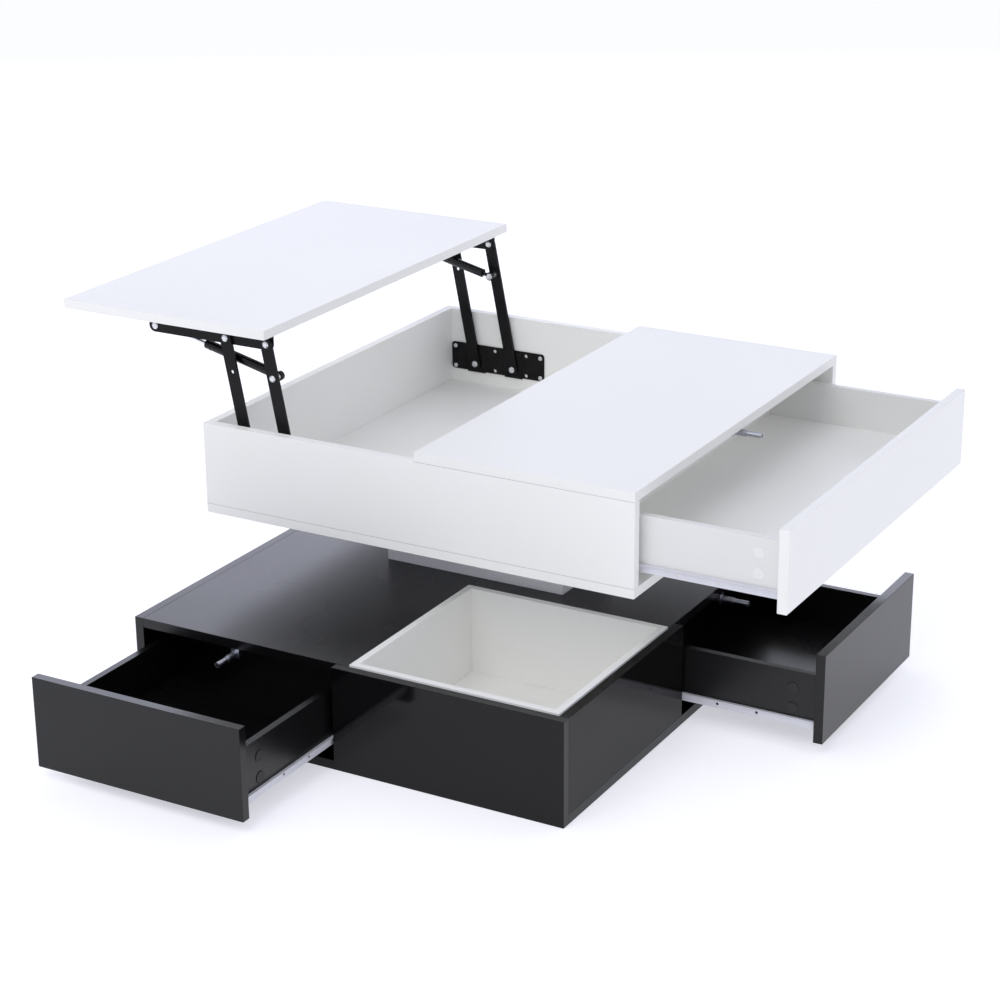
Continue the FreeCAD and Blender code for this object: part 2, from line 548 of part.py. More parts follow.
def drawer_runners(half, side_z):
    """White steel sections along the lower edge of both sides, with a roller at the back."""
    solids = []
    top = side_z + RUNNER_H
    for side in (-1, 1):
        def strip(s0, s1, z0, z1, x0=-DRAWER_LENGTH, x1=-RUNNER_FRONT_GAP):
            y_values = sorted((side * (half + s0), side * (half + s1)))
            return block(x0, x1, y_values[0], y_values[1], z0, z1)
        web = strip(0, RUNNER_SHEET, side_z - RUNNER_SHEET, top)
        foot = strip(-RUNNER_FOOT, RUNNER_SHEET, side_z - RUNNER_SHEET, side_z)
        track = strip(0, RUNNER_TRACK, top - RUNNER_SHEET, top)
        profile = web.fuse([foot, track])
        for index in range(RUNNER_HOLES):
            x = -RUNNER_FIRST_HOLE - index * RUNNER_HOLE_PITCH
            z = side_z + RUNNER_HOLE_UP
            hole = rod(V(x, side * (half - SLACK), z),
                       V(x, side * (half + RUNNER_SHEET + SLACK), z), RUNNER_HOLE_D)
            profile = profile.cut(hole)
        solids.append(profile.removeSplitter())
        x = -DRAWER_LENGTH + ROLLER_D / 2
        z = side_z - RUNNER_SHEET + ROLLER_D / 2
        solids.append(rod(V(x, side * (half + RUNNER_SHEET), z),
                          V(x, side * (half + RUNNER_SHEET + ROLLER_W), z), ROLLER_D))
    return solids


def cabinet_rails(place, bay_w, side_z, edge_x):
    """Rails on a bay's two walls and their front rollers, in the drawer's own frame."""
    rails = []
    rollers = []
    wall = bay_w / 2
    foot_z = side_z - RUNNER_SHEET - RAIL_CLEARANCE
    track_z = side_z + RUNNER_H - RUNNER_SHEET
    for side in (-1, 1):
        def strip(s0, s1, z0, z1):
            y_values = sorted((side * (wall - s0), side * (wall - s1)))
            return block(edge_x - DRAWER_LENGTH, edge_x - RUNNER_FRONT_GAP,
                         y_values[0], y_values[1], z0, z1)
        web = strip(0, RUNNER_SHEET, foot_z - RUNNER_SHEET, foot_z - RUNNER_SHEET + RAIL_H)
        floor = strip(0, RAIL_FLANGE, foot_z - RUNNER_SHEET, foot_z)
        rails.append(web.fuse(floor).removeSplitter())
        roller_z = track_z - LAYER_GAP - ROLLER_D / 2
        roller_x = edge_x - ROLLER_D
        outer = wall - RUNNER_SHEET
        rollers.append(rod(V(roller_x, side * outer, roller_z),
                           V(roller_x, side * (outer - RAIL_ROLLER_W), roller_z), ROLLER_D))
    for solid in rails + rollers:
        solid.Placement = place.multiply(solid.Placement)
    return rails, rollers


# ---------------------------------------------------------------- push latches
def latch(place, z):
    """A long-stroke push latch along +X, its mouth at x = 0, in the bay's own frame."""
    bore_d = LATCH_REAR_D + 2 * LATCH_WALL_PLAY
    centre = V(0, 0, z)
    ahead = V(1, 0, 0)
    barrel = rod(centre - ahead * LATCH_BODY_L, centre, LATCH_BODY_D)
    flange_top = z + LATCH_DROP
    flange = block(-LATCH_FLANGE_T, 0, -LATCH_FLANGE_W / 2, LATCH_FLANGE_W / 2,
                   flange_top - LATCH_FLANGE_H, flange_top)
    rib = block(-LATCH_BODY_L, 0, -LATCH_BODY_D / 4, LATCH_BODY_D / 4, z, flange_top)
    bore = rod(centre - ahead * (LATCH_BODY_L - LATCH_REAR_WALL), centre + ahead * SLACK, bore_d)
    housing = barrel.fuse([flange, rib]).cut(bore)

    tip_x = LATCH_STROKE - LATCH_SET_BACK
    step_x = tip_x - LATCH_TIP_L
    rear = rod(centre - ahead * LATCH_INSIDE, centre + ahead * step_x, LATCH_REAR_D)
    tip = rod(centre + ahead * (step_x - SLACK), centre + ahead * tip_x, LATCH_TIP_D)
    hollow = rod(centre + ahead * (tip_x - LATCH_TIP_BORE_L), centre + ahead * (tip_x + SLACK),
                 LATCH_TIP_BORE_D)
    plunger = rear.fuse(tip).cut(hollow)
    for solid in (housing, plunger):
        solid.Placement = place.multiply(solid.Placement)
    return housing, plunger


# ---------------------------------------------------------------- the whole table
os.makedirs("parts", exist_ok=True)

left_bay_x1, right_bay_y0, left_bay_x0, right_bay_y1 = base_carcass()
storage_liner()
plinth()
case_carcass()
wall_plates()
arms()
lift_top()
struts()

left_bay_w = left_bay_x1 - left_bay_x0
left_mid = (left_bay_x0 + left_bay_x1) / 2
right_bay_w = right_bay_y1 - right_bay_y0
right_mid = (right_bay_y0 + right_bay_y1) / 2
upper_bay_w = CASE_D - 2 * BOARD
lower_z = BOARD + LOWER_FRONT_UP
lower_top = BASE_H - LOWER_FRONT_DROP
upper_z = CASE_FLOOR + UPPER_FRONT_UP
upper_top = CASE_RIM - UPPER_FRONT_DROP
turn = FreeCAD.Rotation(V(0, 0, 1), -90)       # +X of a drawer's own frame turned to -Y
straight = FreeCAD.Rotation()

left_at = FreeCAD.Placement(V(left_mid, Y0 + BOARD - TRAVEL, 0), turn)
left_front = (X0 + LOWER_FRONT_PLAY - left_mid, PANEL_LEFT - LEFT_FRONT_GAP - left_mid)
drawer("left", left_at, (*left_front, lower_z, lower_top),
       left_bay_w - 2 * RUNNER_ROOM, lower_z + LOWER_SIDE_UP)

right_at = FreeCAD.Placement(V(X1 - BOARD + TRAVEL, right_mid, 0), straight)
right_front = (PANEL_BACK + RIGHT_FRONT_GAP - right_mid, Y1 - LOWER_FRONT_PLAY - right_mid)
drawer("right", right_at, (*right_front, lower_z, lower_top),
       right_bay_w - 2 * RUNNER_ROOM, lower_z + LOWER_SIDE_UP)

upper_at = FreeCAD.Placement(V(CX1 - BOARD + TRAVEL, CASE_SHIFT, 0), straight)
upper_half = upper_bay_w / 2 - UPPER_FRONT_PLAY
drawer("upper", upper_at, (-upper_half, upper_half, upper_z, upper_top),
       upper_bay_w - 2 * RUNNER_ROOM, upper_z + UPPER_SIDE_UP)

left_closed = FreeCAD.Placement(V(left_mid, Y0 + BOARD, 0), turn)
right_closed = FreeCAD.Placement(V(X1 - BOARD, right_mid, 0), straight)
upper_closed = FreeCAD.Placement(V(CX1 - BOARD, CASE_SHIFT, 0), straight)
left_rails = cabinet_rails(left_closed, left_bay_w, lower_z + LOWER_SIDE_UP, -FRONT_SEAT)
right_rails = cabinet_rails(right_closed, right_bay_w, lower_z + LOWER_SIDE_UP, -FRONT_SEAT)
upper_rails = cabinet_rails(upper_closed, upper_bay_w, upper_z + UPPER_SIDE_UP, -FRONT_SEAT)
save("base_cabinet_rails", left_rails[0] + right_rails[0])
save("base_rail_rollers", left_rails[1] + right_rails[1])
save("case_cabinet_rails", upper_rails[0])
save("case_rail_rollers", upper_rails[1])

left_latch_at = left_closed.multiply(FreeCAD.Placement(V(-FRONT_SEAT, LEFT_LATCH_SHIFT, 0), straight))
right_latch_at = right_closed.multiply(FreeCAD.Placement(V(-FRONT_SEAT, 0, 0), straight))
upper_latch_at = upper_closed.multiply(FreeCAD.Placement(V(-FRONT_SEAT, 0, 0), straight))
for latch_name, latch_place, roof in (("left", left_latch_at, BASE_ROOF),
                                      ("right", right_latch_at, BASE_ROOF),
                                      ("upper", upper_latch_at, CASE_RIM)):
    latch_housing, latch_plunger = latch(latch_place, roof - LATCH_DROP)
    save(latch_name + "_latch_housing", [latch_housing])
    save(latch_name + "_latch_plunger", [latch_plunger])

print("arm swing", round(math.degrees(ARM_OPEN - ARM_CLOSED), 3), "lift run", round(LIFT_RUN, 3))
for label, point in (("low_right", LOW_RIGHT), ("low_left", LOW_LEFT), ("high_right", HIGH_RIGHT),
                     ("strut_low", STRUT_LOW), ("strut_high", STRUT_HIGH)):
    print(label, round(point.x, 3), round(point.z, 3))
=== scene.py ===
# %% [markdown]
# # Lift top coffee table
# A low table in two tiers. The black base holds two drawers and a white storage box, and a
# swivel carries the white case above it, with one long drawer and a top that lifts on arms.
# The measured model comes first and stays where it is. This lesson gives every surface its
# finish, adds the small hardware, then sets the table in a plain bright studio.

import json
import math

import bmesh
import bpy
from mathutils import Matrix, Vector


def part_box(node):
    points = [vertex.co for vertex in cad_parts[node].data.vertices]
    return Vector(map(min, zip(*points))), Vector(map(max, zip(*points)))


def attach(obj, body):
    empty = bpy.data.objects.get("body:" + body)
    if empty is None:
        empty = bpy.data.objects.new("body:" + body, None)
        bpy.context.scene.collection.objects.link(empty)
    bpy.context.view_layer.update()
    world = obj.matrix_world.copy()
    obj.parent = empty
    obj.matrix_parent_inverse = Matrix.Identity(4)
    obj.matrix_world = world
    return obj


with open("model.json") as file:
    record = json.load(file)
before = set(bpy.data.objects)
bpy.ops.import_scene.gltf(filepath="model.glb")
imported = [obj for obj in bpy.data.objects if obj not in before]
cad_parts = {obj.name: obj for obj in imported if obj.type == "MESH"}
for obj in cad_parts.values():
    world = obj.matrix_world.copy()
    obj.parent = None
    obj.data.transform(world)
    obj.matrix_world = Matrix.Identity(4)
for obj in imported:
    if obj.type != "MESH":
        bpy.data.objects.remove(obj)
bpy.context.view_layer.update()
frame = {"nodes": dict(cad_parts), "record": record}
nodes = frame["nodes"]
MM = 0.001

# %% [markdown]
# ## The camera
# The view is from the front right, a little above the table, with a long lens so that the
# boards' edges stay nearly parallel. The direction is written as three angles, which are easier
# to adjust than a matrix: the turn around the table, the height above the horizon and the roll.

# %% Camera
AROUND, ABOVE, ROLL = (math.radians(angle) for angle in (29.621, 20.561, -0.454))
STANDING = (1.9300, -3.2759, 1.7440)
LENS = 87.64
ahead = Vector((-math.sin(AROUND) * math.cos(ABOVE),
                math.cos(AROUND) * math.cos(ABOVE), -math.sin(ABOVE)))
level = Vector((math.cos(AROUND), math.sin(AROUND), 0))
overhead = level.cross(ahead)
across = math.cos(ROLL) * level + math.sin(ROLL) * overhead
upright = math.cos(ROLL) * overhead - math.sin(ROLL) * level
camera = bpy.data.objects.new("camera", bpy.data.cameras.new("camera"))
bpy.context.scene.collection.objects.link(camera)
camera.matrix_world = Matrix((across, upright, -ahead)).transposed().to_4x4()
camera.location = STANDING
camera.data.lens = LENS
bpy.context.scene.camera = camera
print("lens", camera.data.lens, "mm, standing at", [round(value, 2) for value in camera.location])

# %% [markdown]
# ## Colour and shader helpers
# A colour picked on a screen is stored in sRGB, but light adds up in linear values, so one
# function turns hex colours into linear ones. A second function adds a shader node with its
# settings and links.
# Nearly every finish here varies in the same three ways: a slow change of tone, a change of
# gloss that follows it, and a fine relief. So one function builds a whole finish from the sizes
# of its two patterns. A finish without relief, or with an even gloss, leaves that part out.

# %% Colour, node and finish helpers
NOISE_LOW, NOISE_HIGH = 0.35, 0.65      # noise values at which a finish reaches its two tones
GLOSS_LOW, GLOSS_HIGH = 0.3, 0.7        # and its two roughnesses


def linear(hex_colour):
    """The linear RGBA of an sRGB hex colour."""
    found = []
    for start in (1, 3, 5):
        value = int(hex_colour[start:start + 2], 16) / 255
        found.append(value / 12.92 if value <= 0.04045 else ((value + 0.055) / 1.055) ** 2.4)
    return (*found, 1.0)


def add(tree, kind, inputs, **settings):
    """Add a node. An input is given a value, or a (node, output) pair to link from."""
    made = tree.nodes.new(kind)
    for name, value in settings.items():
        setattr(made, name, value)
    for socket, value in inputs.items():
        if isinstance(value, tuple) and isinstance(value[0], bpy.types.Node):
            tree.links.new(value[0].outputs[value[1]], made.inputs[socket])
        else:
            made.inputs[socket].default_value = value
    return made


def new_finish(name, dark, light, cloud, gloss=None, grain=None, relief=None, **shader):
    """A finish: cloud and grain are (size, detail), gloss is two roughnesses, relief is
    (strength, depth), and the rest are the shader's own sockets."""
    material = bpy.data.materials.new(name)
    material.use_nodes = True
    tree = material.node_tree
    tree.nodes.clear()
    place = add(tree, "ShaderNodeTexCoord", {})
    drift = add(tree, "ShaderNodeTexNoise", {
        "Vector": (place, "Object"), "Scale": 1 / cloud[0], "Detail": cloud[1]})
    tone = add(tree, "ShaderNodeValToRGB", {"Fac": (drift, "Fac")})
    stops = zip(tone.color_ramp.elements, (NOISE_LOW, NOISE_HIGH), (dark, light))
    for element, position, shade in stops:
        element.position, element.color = position, linear(shade)
    sockets = {socket.replace("_", " "): value for socket, value in shader.items()}
    sockets["Base Color"] = (tone, "Color")
    if gloss:
        shine = add(tree, "ShaderNodeMapRange", {
            "Value": (drift, "Fac"), "From Min": GLOSS_LOW, "From Max": GLOSS_HIGH,
            "To Min": gloss[0], "To Max": gloss[1]})
        sockets["Roughness"] = (shine, "Result")
    if relief:
        texture = add(tree, "ShaderNodeTexNoise", {
            "Vector": (place, "Object"), "Scale": 1 / grain[0], "Detail": grain[1]})
        bump = add(tree, "ShaderNodeBump", {
            "Height": (texture, "Fac"), "Strength": relief[0], "Distance": relief[1]})
        sockets["Normal"] = (bump, "Normal")
    surface = add(tree, "ShaderNodeBsdfPrincipled", sockets)
    add(tree, "ShaderNodeOutputMaterial", {"Surface": (surface, "BSDF")})
    return material


print("helpers ready, mid grey", [round(value, 3) for value in linear("#808080")])

# %% [markdown]
# ## White melamine board
# The case, the lift top, the long drawer and the storage box are particle board with a white
# melamine paper pressed on hot. The press plate leaves a fine orange peel and a soft gloss, and
# the paper varies a little in tone. The peel is really about 0.5 mm, too fine to see from
# across a room, so it is drawn at 4 mm. A slow noise moves the white and the gloss by a few
# hundredths, which keeps a broad white face from looking dead. The long drawer's thinner sides
# take the same melamine a shade greyer. That grey is painted shade, for the shade these sides
# stand in.

# %% White melamine
PEEL = 4.0 * MM
CLOUD = 260 * MM


def melamine(name, dark, light, roughness):
    return new_finish(
        name, dark, light, cloud=(CLOUD, 3.0), gloss=(roughness - 0.03, roughness + 0.04),
        grain=(PEEL, 2.0), relief=(0.05, 0.3 * MM), IOR=1.4)


white_melamine = melamine("white_melamine", "#F6F6F2", "#F8F8F5", 0.42)
# a shade greyer than the white melamine: painted shade on the long drawer's sides
shaded_drawer_side_melamine = melamine("shaded_drawer_side_melamine", "#E6E6E3", "#EAEAE7", 0.45)
print("white melamine, peel every", PEEL / MM, "mm")

# %% [markdown]
# ## Black lacquered board
# The base is board with a polished black lacquer. Almost all that the eye sees is reflection:
# it turns a deep black where a drawer's dark side is mirrored, and a clear grey where the bright
# room is seen at a low angle. The lacquer is sprayed, so it has a faint long wave of about
# 30 mm, and polishing leaves a slow change of gloss. Both are kept very weak. A lacquer's
# refractive index is about 1.5. These are lower, matched to how weakly the real panels mirror.

# %% Black lacquer
LACQUER_WAVE = 30 * MM


def lacquer(name, dark, light, roughness, ior):
    return new_finish(
        name, dark, light, cloud=(CLOUD, 3.0), gloss=(roughness - 0.02, roughness + 0.03),
        grain=(LACQUER_WAVE, 1.0), relief=(0.05, 0.2 * MM), IOR=ior)


polished_lacquer = lacquer("polished_black_lacquer", "#070708", "#0A0A0B", 0.07, 1.34)
side_lacquer = lacquer("side_black_lacquer", "#050505", "#080808", 0.07, 1.24)
front_lacquer = lacquer("drawer_front_lacquer", "#0C0C0D", "#101011", 0.12, 1.42)
satin_lacquer = lacquer("satin_black_lacquer", "#0A0A0B", "#0E0E0F", 0.27, 1.45)
print("black lacquers, wave", LACQUER_WAVE / MM, "mm")

# %% [markdown]
# ## Grey paint on the plinth
# The short plinth between the tiers is painted a plain pale grey with a roller. A roller leaves
# a stipple of small soft bumps, here 3 mm apart, and almost no gloss.

# %% Rolled grey paint
STIPPLE = 3.0 * MM
grey_paint = new_finish(
    "rolled_grey_paint", "#F0F0F3", "#F4F4F6", cloud=(STIPPLE, 3.0), grain=(STIPPLE, 3.0),
    relief=(0.15, 0.3 * MM), Roughness=0.6, IOR=1.5)
print("grey paint, stipple every", STIPPLE / MM, "mm")

# %% [markdown]
# ## Powder coated steel
# The arms, plates and brackets are pressed steel in black powder coat, and the drawer runners
# are rolled steel in white. The powder melts into a skin with a fine pebble of about 1 mm and a
# satin sheen. One function makes both, because only the tone and the gloss differ. The black
# one mirrors little, so its index is well under the usual 1.5.

# %% Powder coats
PEBBLE = 1.6 * MM        # the real pebble is about 1 mm, drawn a little coarser so that it shows
PATCH = 40 * MM


def powder_coat(name, dark, light, roughness, strength, ior):
    return new_finish(
        name, dark, light, cloud=(PATCH, 2.0), gloss=(roughness - 0.04, roughness + 0.06),
        grain=(PEBBLE, 2.0), relief=(strength, 0.2 * MM), IOR=ior)


black_powder_coat = powder_coat("black_powder_coat", "#0E0E0F", "#131314", 0.38, 0.2, 1.27)
white_powder_coat = powder_coat("white_powder_coat", "#D9D9E0", "#DEDEE4", 0.36, 0.08, 1.5)
print("powder coats, pebble", PEBBLE / MM, "mm")

# %% [markdown]
# ## Plated and bare metal
# Rivets, screws and the bearing plates are zinc plated: bright, slightly blue, with a crystal
# bloom of a few millimetres that shows as a patchy gloss. The struts' rods are ground and
# chromed, with a finer grain and a much sharper shine. The push latches are satin nickel, a
# darker grey, faintly blue, that mirrors the board beside it.

# %% Zinc plate, chrome and nickel
def metal(name, dark, light, roughness, grain, spread):
    return new_finish(
        name, dark, light, cloud=(grain, 3.0), gloss=(roughness, roughness + spread),
        Metallic=1.0)


zinc_plate = metal("zinc_plate", "#D4D6D9", "#E8E9EB", 0.24, 3 * MM, 0.12)
ground_chrome = metal("ground_chrome", "#D6D7DA", "#E6E7E9", 0.12, 1.2 * MM, 0.08)
satin_nickel = metal("satin_nickel", "#AEB0BA", "#C6C8D0", 0.3, 2 * MM, 0.1)
print("metals", zinc_plate.name, ground_chrome.name, satin_nickel.name)

# %% [markdown]
# ## Moulded plastics
# The runners' rollers are natural nylon, milky and a little waxy, so light sinks in slightly.
# The caps over the drawers' connectors are white polypropylene with a fine spark texture from
# the mould. The seams' painted shadows are a thin dark film, grey in the white boards and black
# in the black ones, and take the same function without any depth. The struts' black enamel is a
# lacquer, so it comes from that function.

# %% Nylon, caps and painted seam shadows
SPARK = 1.2 * MM


def moulded(name, dark, light, roughness, depth):
    return new_finish(
        name, dark, light, cloud=(SPARK, 2.0), gloss=(roughness, roughness + 0.1),
        grain=(SPARK, 2.0), relief=(0.1, 0.1 * MM), IOR=1.5, Subsurface_Weight=depth,
        Subsurface_Scale=1.0 * MM)


natural_nylon = moulded("natural_nylon", "#DCDCD6", "#E6E6E0", 0.4, 0.2)
white_cap = moulded("white_polypropylene", "#E9E9E6", "#EFEFEC", 0.35, 0.05)
black_cap = moulded("black_polypropylene", "#121213", "#171718", 0.4, 0.0)
# painted shadow for the seams between boards: grey on the white ones, black on the black ones
grey_seam_shadow_bar = moulded("grey_seam_shadow_bar", "#B4B4B8", "#BEBEC2", 0.6, 0.0)
black_seam_shadow_bar = moulded("black_seam_shadow_bar", "#020202", "#040404", 0.7, 0.0)
black_enamel = lacquer("black_strut_enamel", "#050505", "#080808", 0.16, 1.42)
print("plastics", natural_nylon.name, white_cap.name, grey_seam_shadow_bar.name)

# %% [markdown]
# ## Dress the measured model
# Most boards have the right shape already, so they only take a finish. The record names a
# material slot for each piece, and a short table maps each slot to its finish. A second table
# lists the few pieces whose gloss or tone differs from the rest of their slot. The model's
# meshes are not touched, only what fills their material slots.

# %% Finishes by slot
FINISHES = {
    "white_board": white_melamine,
    "black_gloss_board": satin_lacquer,
    "pale_grey_board": grey_paint,
    "black_steel": black_powder_coat,
    "zinc_steel": zinc_plate,
    "chrome_rod": ground_chrome,
    "white_runner_steel": white_powder_coat,
    "nylon": natural_nylon,
    "latch_metal": satin_nickel,
}
OWN_FINISH = {
    "base_front_panel": polished_lacquer,
    "base_bottom_board": polished_lacquer,
    "base_right_panel": side_lacquer,
    "left_drawer_front": front_lacquer,
    "right_drawer_front": front_lacquer,
    # the long drawer's sides take the greyer melamine, which is painted shade
    "upper_drawer_sides": shaded_drawer_side_melamine,
    "strut_cylinders": black_enamel,
}
slot_of = {entry["node"]: entry["material_slot"] for entry in frame["record"]["subparts"]}
for name, piece in nodes.items():
    finish = OWN_FINISH.get(name, FINISHES[slot_of[name]])
    for index in range(max(1, len(piece.material_slots))):
        if index < len(piece.material_slots):
            piece.material_slots[index].material = finish
        else:
            piece.data.materials.append(finish)
print("dressed", {slot: sum(found == slot for found in slot_of.values()) for slot in FINISHES})

# %% [markdown]
# ## Tools for the small pieces
# The hardware is modelled as by hand: a primitive, then insets and moves of faces that code
# selects by where they point, and a modifier where that is simpler. What repeats is modelled
# once, standing on the origin and facing up, and each copy has its own mesh, turned to its
# place and fixed there. Places are read from the measured model. A node of fasteners holds many
# separate solids, so one helper splits its mesh into them and gives each one's box.

# %% Modelling helpers
SMOOTH_ANGLE = math.radians(35)
SAME_PLACE = 0.001 * MM         # vertices closer than this are one
FACING = 0.9                    # a normal's share along Z in a face that points that way


def only(piece):
    """Leave this piece alone selected and active."""
    bpy.ops.object.select_all(action="DESELECT")
    piece.select_set(True)
    bpy.context.view_layer.objects.active = piece


def pick(test):
    """In edit mode, select the faces that pass a test."""
    bpy.ops.mesh.select_mode(type="FACE")
    bpy.ops.mesh.select_all(action="DESELECT")
    mesh = bmesh.from_edit_mesh(bpy.context.object.data)
    for face in mesh.faces:
        face.select_set(test(face))
    bmesh.update_edit_mesh(bpy.context.object.data)


def facing_up(face):
    return face.normal.z > FACING


def disc(diameter, height, sides, z=0.0):
    """A cylinder on the Z axis, standing at z, left in edit mode with its top selected."""
    bpy.ops.mesh.primitive_cylinder_add(vertices=sides, radius=diameter / 2, depth=height,
                                        location=(0, 0, z + height / 2))
    bpy.ops.object.transform_apply(location=True)
    bpy.ops.object.mode_set(mode="EDIT")
    pick(facing_up)
    return bpy.context.object


def shape(steps, way=1):
    """Draw the selected face in and move it along Z, by each (inset, rise) in mm."""
    for inset, rise in steps:
        bpy.ops.mesh.inset(thickness=inset * MM)
        bpy.ops.transform.translate(value=(0, 0, way * rise * MM))


def inward_side(low):
    """1 for a solid on the front wall, which faces +Y, and -1 for one on the back wall."""
    return 1 if low.y < middle_y else -1


def put(model, name, point, direction, body, slot, finish):
    """A copy of a model with its own mesh, standing on a point and facing a direction."""
    piece = model.copy()
    piece.data = model.data.copy()
    piece.name = name
    bpy.context.scene.collection.objects.link(piece)
    turn = Vector((0, 0, 1)).rotation_difference(Vector(direction)).to_matrix().to_4x4()
    piece.matrix_world = Matrix.Translation(Vector(point)) @ turn
    only(piece)
    bpy.ops.object.transform_apply(location=True, rotation=True, scale=True)
    bpy.ops.object.shade_smooth_by_angle(angle=SMOOTH_ANGLE)
    piece.data.materials.clear()
    piece.data.materials.append(finish)
    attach(piece, body)
    return piece


def solids(name):
    """Lowest and highest corners of each separate solid in a node."""
    mesh = bmesh.new()
    mesh.from_mesh(nodes[name].data)
    bmesh.ops.remove_doubles(mesh, verts=mesh.verts, dist=SAME_PLACE)
    waiting, found = set(mesh.verts), []
    while waiting:
        group, edge = [], [waiting.pop()]
        while edge:
            vertex = edge.pop()
            group.append(vertex.co.copy())
            near = {link.other_vert(vertex) for link in vertex.link_edges} & waiting
            waiting -= near
            edge.extend(near)
        found.append((Vector(map(min, zip(*group))), Vector(map(max, zip(*group)))))
    mesh.free()
    return sorted(found, key=lambda box: tuple(box[0]))


middle_y = sum(corner[1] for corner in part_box("case_bottom_board")) / 2
for name in ("wall_plate_fasteners", "lift_top_rivets", "strut_arm_bolts", "strut_rod_bolts"):
    print(name, len(solids(name)), "solids")

# %% [markdown]
# ## Connector caps
# The drawer boxes are held to their fronts by cam connectors, and a thin round cap, 20 mm
# across, closes each one. A cap is a shallow disc with a soft rim and a slightly dished face.
# It is a cylinder whose top is drawn in twice: once for the rim, once for the dish.

# %% Connector caps on the drawers' sides
CAP_D, CAP_H = 20 * MM, 0.8 * MM
CAP_STEPS = ((0.35, 0.2), (1.2, 0.0), (0.3, -0.25))     # soft rim, flat ring, dish
cap = disc(CAP_D, CAP_H, 48)
shape(CAP_STEPS)
bpy.ops.object.mode_set(mode="OBJECT")
# for each drawer, in mm: behind its front, and above the lower edge of its sides
CAP_PLACES = {"upper": (36.0, (33.5, 67.5)), "left": (39.5, (28.0, 63.5)),
              "right": (39.5, (28.0, 63.5))}
CAP_FINISH = {"upper": ("white_board", white_cap), "left": ("black_gloss_board", black_cap),
              "right": ("black_gloss_board", black_cap)}
caps = []
for drawer, (behind, heights) in CAP_PLACES.items():
    low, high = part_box(drawer + "_drawer_sides")
    front_low, front_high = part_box(drawer + "_drawer_front")
    for number, height in enumerate(heights, start=1):
        z = low[2] + height * MM
        if drawer == "left":
            along = front_high[1] + behind * MM
            spots = (((low[0], along, z), (-1, 0, 0)), ((high[0], along, z), (1, 0, 0)))
        else:
            along = front_low[0] - behind * MM
            spots = (((along, low[1], z), (0, -1, 0)), ((along, high[1], z), (0, 1, 0)))
        for side, (point, outward) in zip("ab", spots):
            caps.append(put(cap, f"{drawer}_connector_cap_{number}{side}", point,
                            outward, drawer + "_drawer", *CAP_FINISH[drawer]))
bpy.data.objects.remove(cap)
print("connector caps", len(caps))

# %% [markdown]
# ## Rivet and bolt heads
# The arms turn on zinc plated rivets with a domed head and a small dimple left by the setting
# tool. The measured heads are plain cones, right in size and place, so each visible one gets a
# domed cap that covers it: a short cylinder drawn in and raised in five steps, on a rounded
# arc, then pressed in at the middle for the dimple.

# %% Domed heads
DOME_R, DIMPLE_R = 6.0, 1.7             # in mm, like the rim's and the crown's heights
RIM_H, CROWN_H = 0.9, 2.1
ARC_ANGLES = (20, 40, 60, 75, 90)
DIMPLE_STEPS = ((0.5, -0.35), (0.4, -0.1))
MEASURED_HEAD_H = 2.2 * MM              # the plain head that the dome covers
WIDE = 9 * MM                           # heads wider than this are rivets, the rest screws
dome = disc(2 * DOME_R * MM, RIM_H * MM, 40)
radius, rise = DOME_R, 0.0
for angle in ARC_ANGLES:
    turned = math.radians(angle)
    new_radius = DIMPLE_R + (DOME_R - DIMPLE_R) * math.cos(turned)
    new_rise = CROWN_H * math.sin(turned)
    shape([(radius - new_radius, new_rise - rise)])
    radius, rise = new_radius, new_rise
shape(DIMPLE_STEPS)
bpy.ops.object.mode_set(mode="OBJECT")
BOLTED = {"lift_top_rivets": "lift_top", "strut_arm_bolts": "right_arms",
          "strut_rod_bolts": "strut_rods"}
heads = []
for node, body in {**BOLTED, "wall_plate_fasteners": "case"}.items():
    for index, (low, high) in enumerate(solids(node)):
        if high.x - low.x < WIDE:
            continue
        inward = inward_side(low)
        seat = (high.y if inward > 0 else low.y) - inward * MEASURED_HEAD_H
        point = ((low.x + high.x) / 2, seat, (low.z + high.z) / 2)
        heads.append(put(dome, f"{node}_head_{index + 1}", point, (0, inward, 0), body,
                         "zinc_steel", zinc_plate))
bpy.data.objects.remove(dome)
print("domed heads", len(heads))

# %% [markdown]
# ## Screw heads
# The wall plates are held by pan head screws with a cross recess. The recess is cut with a
# Boolean: two thin blocks crossed over the head, taken away, which leaves the cross that a
# driver fits. The same screw, driven upwards, holds the brackets' feet to the lift top.

# %% Cross recess screws
SCREW_D, SCREW_H, SCREW_RIM = 8.4 * MM, 1.9 * MM, 0.7 * MM
SCREW_STEPS = ((0.5, 0.6), (0.8, 0.4), (1.1, 0.2))
CROSS_L, CROSS_W, CROSS_T = 4.4 * MM, 0.9 * MM, 1.2 * MM    # half of CROSS_T is in the head
MEASURED_SCREW_H = 1.2 * MM
BRACKET_T, SCREW_REACH = 2.5 * MM, 15 * MM
SCREW_SHARES = (0.08, 0.36, 0.64, 0.92)         # along a bracket's length
screw = disc(SCREW_D, SCREW_RIM, 32)
shape(SCREW_STEPS)
bpy.ops.object.mode_set(mode="OBJECT")
for length, width in ((CROSS_L, CROSS_W), (CROSS_W, CROSS_L)):
    bpy.ops.mesh.primitive_cube_add(size=1, location=(0, 0, SCREW_H))
    cutter = bpy.context.object
    cutter.scale = (length, width, CROSS_T)
    bpy.ops.object.transform_apply(location=True, scale=True)
    only(screw)
    recess = screw.modifiers.new("recess", "BOOLEAN")
    recess.operation, recess.solver, recess.object = "DIFFERENCE", "EXACT", cutter
    bpy.ops.object.modifier_apply(modifier=recess.name)
    bpy.data.objects.remove(cutter)
screws = []
